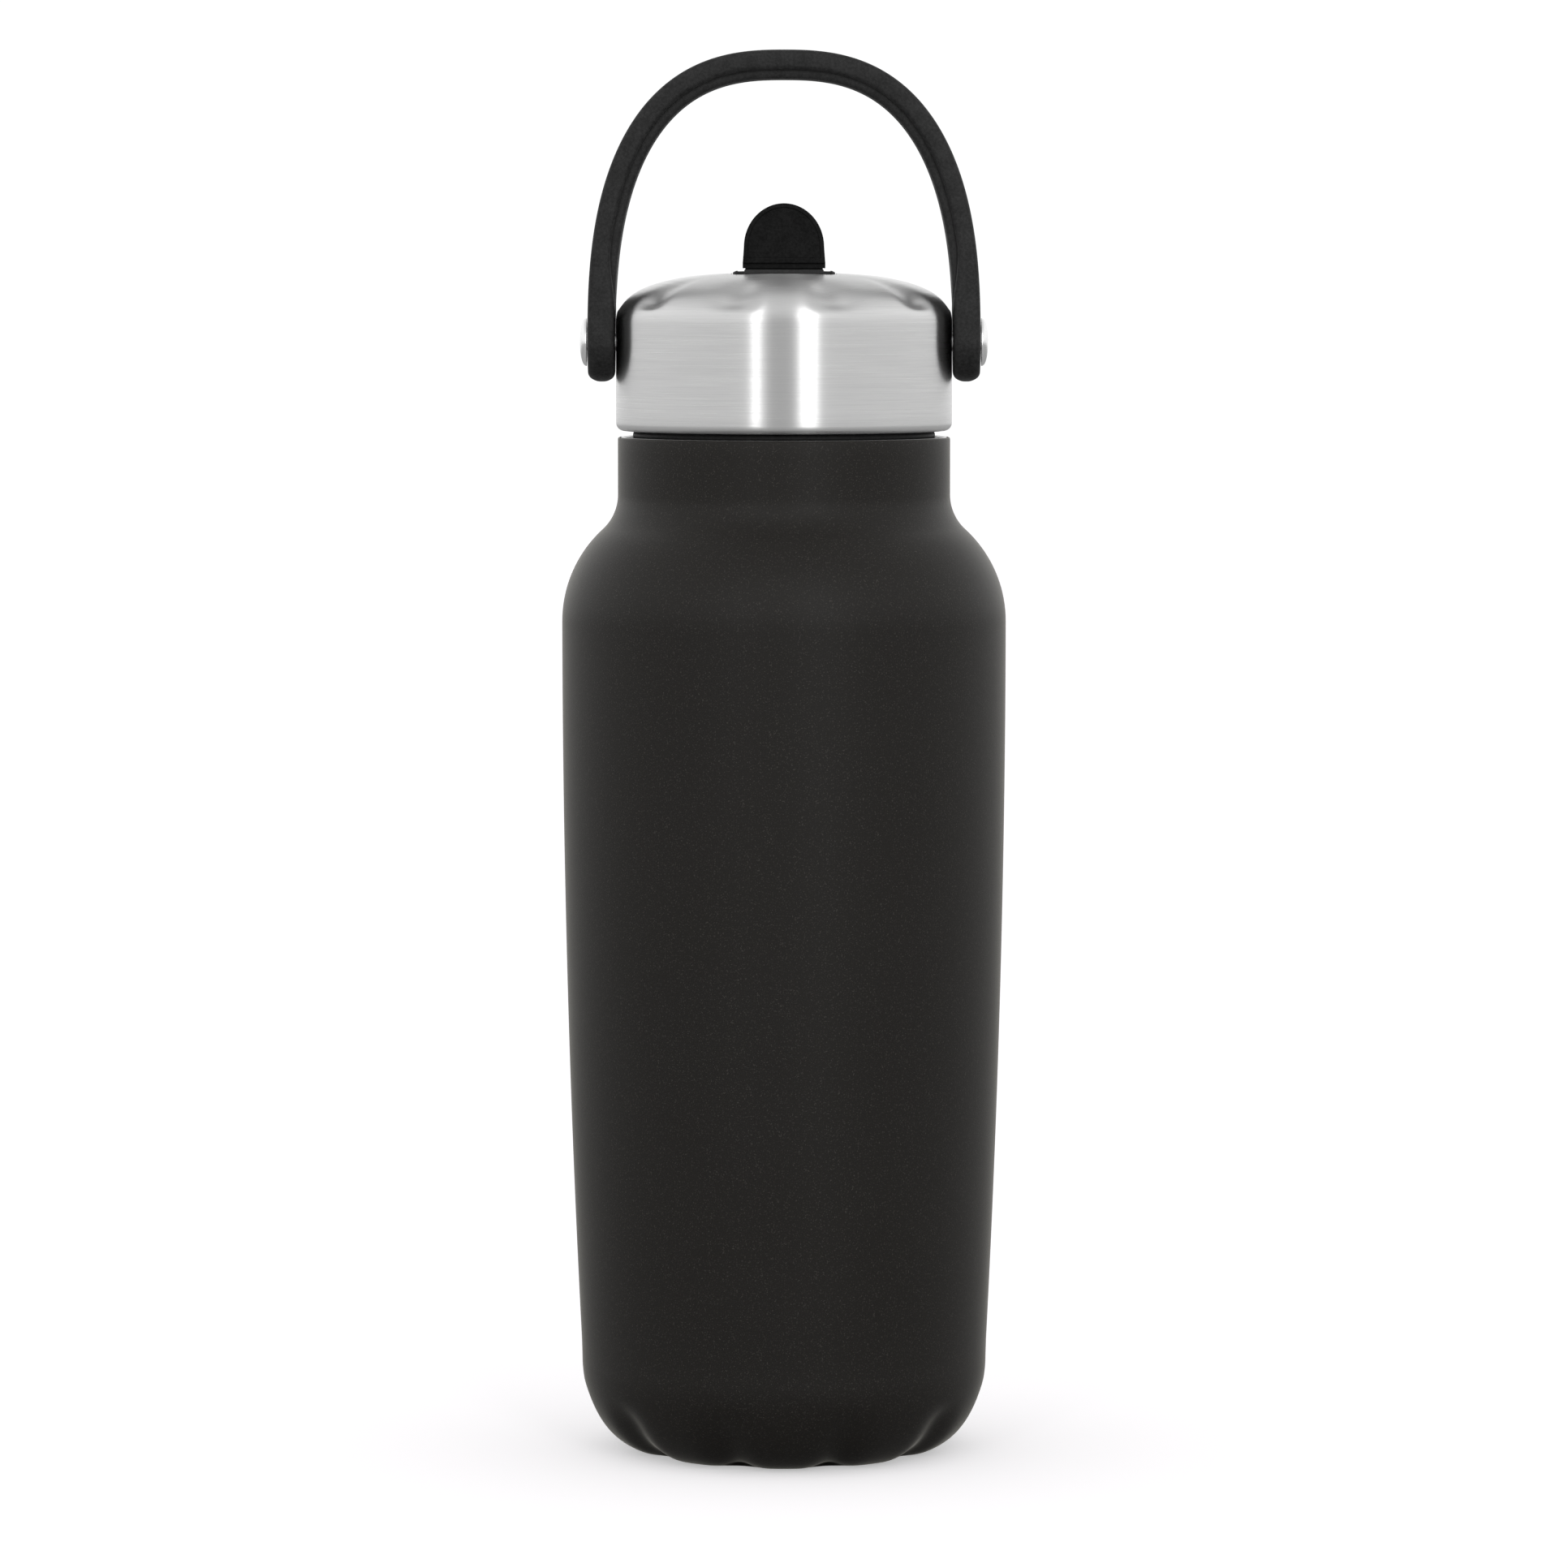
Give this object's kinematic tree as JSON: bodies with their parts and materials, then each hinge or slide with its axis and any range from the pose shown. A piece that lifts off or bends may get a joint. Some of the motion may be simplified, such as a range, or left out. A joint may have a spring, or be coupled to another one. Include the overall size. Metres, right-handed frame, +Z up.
{
  "type": "insulated water bottle",
  "caption": "Vacuum insulated steel water bottle with a tapered body, a fluted screw lid, a flip-up straw spout and a swinging bail handle.",
  "frame": {"origin": "centre of the base, on the plane that the foot ring stands on", "axes": "+Z up along the bottle's axis, -Y the front that the upright spout tab faces, +X to the right seen from the front, through the handle's right rivet"},
  "size_m": [0.09, 0.09, 0.2842],
  "materials": {
    "powder_coat": "matt fine-textured powder coat",
    "brushed_steel": "circumferentially brushed",
    "bare_steel": "electropolished",
    "solder": "dull solder bead",
    "getter_alloy": "sintered",
    "copper": "bright copper foil",
    "black_plastic": "fine moulded grain",
    "soft_black": "soft-touch matt",
    "silicone": "matt silicone",
    "natural_plastic": "translucent natural",
    "foam": "closed-cell foam",
    "nylon": "black nylon"
  },
  "bodies": {
    "bottle": {"outer_shell": "powder_coat", "base_cup": "powder_coat", "base_disc": "brushed_steel", "vacuum_seal_plug": "solder", "getter": "getter_alloy", "inner_liner": "bare_steel", "heat_shield_foil": "copper"},
    "gasket_ring": {"lid_gasket": "silicone"},
    "lid": {"lid_shell": "brushed_steel", "lid_core": "black_plastic", "plug_cap": "black_plastic", "lid_insulation": "foam", "spout_well": "black_plastic", "spout_seal": "silicone", "drink_tube": "natural_plastic", "straw": "natural_plastic", "vent_valve": "silicone", "spout_pin_left": "bare_steel", "spout_pin_right": "bare_steel", "pivot_rivet_left": "brushed_steel", "pivot_rivet_right": "brushed_steel", "rivet_washer_left": "bare_steel", "rivet_washer_right": "bare_steel", "pivot_spacer_left": "nylon", "pivot_spacer_right": "nylon"},
    "spout": {"spout_tab": "black_plastic", "mouthpiece": "silicone"},
    "handle": {"handle_strap": "black_plastic", "handle_lining": "soft_black"}
  },
  "joints": [
    {"name": "lid_rise", "type": "slide", "parent": "bottle", "child": "gasket_ring", "axis": [0, 0, 1], "range_m": [0, 0.006]},
    {"name": "lid_turn", "type": "hinge", "parent": "gasket_ring", "child": "lid", "pos_m": [0, 0, 0.2], "axis": [0, 0, 1], "range_deg": [0, 540]},
    {"name": "spout_flip", "type": "hinge", "parent": "lid", "child": "spout", "pos_m": [0, -0.006, 0.235], "axis": [-1, 0, 0], "range_deg": [0, 90]},
    {"name": "handle_swing", "type": "hinge", "parent": "lid", "child": "handle", "pos_m": [0, 0, 0.2255], "axis": [1, 0, 0], "range_deg": [-126, 126]}
  ],
  "couplings": [
    {"joint": "lid_rise", "follows": "lid_turn", "m_per_rad": 0.00063661}
  ]
}
